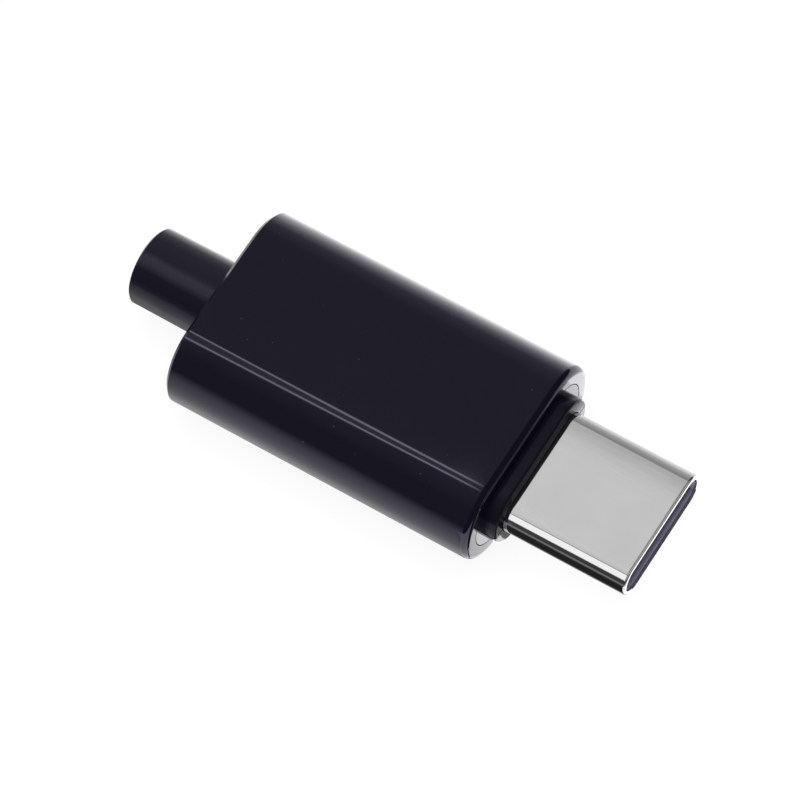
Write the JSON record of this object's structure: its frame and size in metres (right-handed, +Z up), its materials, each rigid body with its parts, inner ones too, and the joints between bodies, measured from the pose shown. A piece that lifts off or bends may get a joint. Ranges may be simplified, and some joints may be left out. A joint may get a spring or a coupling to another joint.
{
  "type": "usb-c plug",
  "caption": "Assembled reversible cable plug: steel plug shell with insulator and contacts, clamshell inner shell, glossy black sleeve with a round cable neck.",
  "frame": {"origin": "under the middle of the whole plug, on the surface that it lies on", "axes": "+X along the plug towards its steel tip, +Y across its width, +Z up through its thickness"},
  "size_m": [0.0352, 0.0132, 0.0063],
  "materials": {
    "sleeve_plastic": "glossy black moulded plastic",
    "inner_plastic": "semi-gloss black moulded plastic",
    "plug_steel": "bright nickel-plated stainless steel",
    "insert_plastic": "violet-grey moulded insulator",
    "carrier_plastic": "black moulded carrier",
    "spring_steel": "plain stainless sheet",
    "contact_gold": "gold-plated copper alloy",
    "board": "green solder mask on glass epoxy",
    "chip_ceramic": "chip part body"
  },
  "bodies": {
    "root": {"chip_capacitor": "chip_ceramic", "chip_resistor": "chip_ceramic", "circuit_board": "board", "contact_a1": "contact_gold", "contact_a10": "contact_gold", "contact_a11": "contact_gold", "contact_a12": "contact_gold", "contact_a2": "contact_gold", "contact_a3": "contact_gold", "contact_a4": "contact_gold", "contact_a5": "contact_gold", "contact_a6": "contact_gold", "contact_a7": "contact_gold", "contact_a8": "contact_gold", "contact_a9": "contact_gold", "contact_b1": "contact_gold", "contact_b10": "contact_gold", "contact_b11": "contact_gold", "contact_b12": "contact_gold", "contact_b2": "contact_gold", "contact_b3": "contact_gold", "contact_b4": "contact_gold", "contact_b5": "contact_gold", "contact_b8": "contact_gold", "contact_b9": "contact_gold", "contact_carrier_bottom": "carrier_plastic", "contact_carrier_top": "carrier_plastic", "ground_spring_bottom": "spring_steel", "ground_spring_top": "spring_steel", "inner_shell_bottom": "inner_plastic", "inner_shell_top": "inner_plastic", "insert_housing": "insert_plastic", "mid_plate": "spring_steel", "outer_sleeve": "sleeve_plastic", "plug_shell": "plug_steel"}
  },
  "joints": []
}
